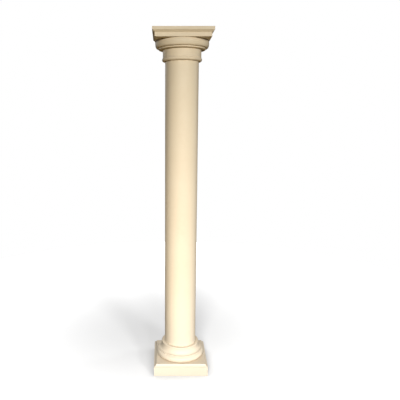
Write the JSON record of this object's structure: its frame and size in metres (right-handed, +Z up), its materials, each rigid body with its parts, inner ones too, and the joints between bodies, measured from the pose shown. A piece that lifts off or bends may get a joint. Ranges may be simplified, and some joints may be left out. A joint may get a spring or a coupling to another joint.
{
  "type": "doric column",
  "caption": "Plain Doric column with a smooth round shaft on a moulded base with a square plinth, and a moulded capital with a square abacus.",
  "frame": {"origin": "centre of the plinth's underside, where the column stands on the floor", "axes": "+Z up along the axis of the shaft, towards the abacus; X and Y square to the faces of the plinth and abacus, with the front facing -Y"},
  "size_m": [0.347, 0.347, 2.1],
  "materials": {
    "cream_finish": "satin"
  },
  "bodies": {
    "root": {"base": "cream_finish", "shaft": "cream_finish", "capital": "cream_finish"}
  },
  "joints": []
}
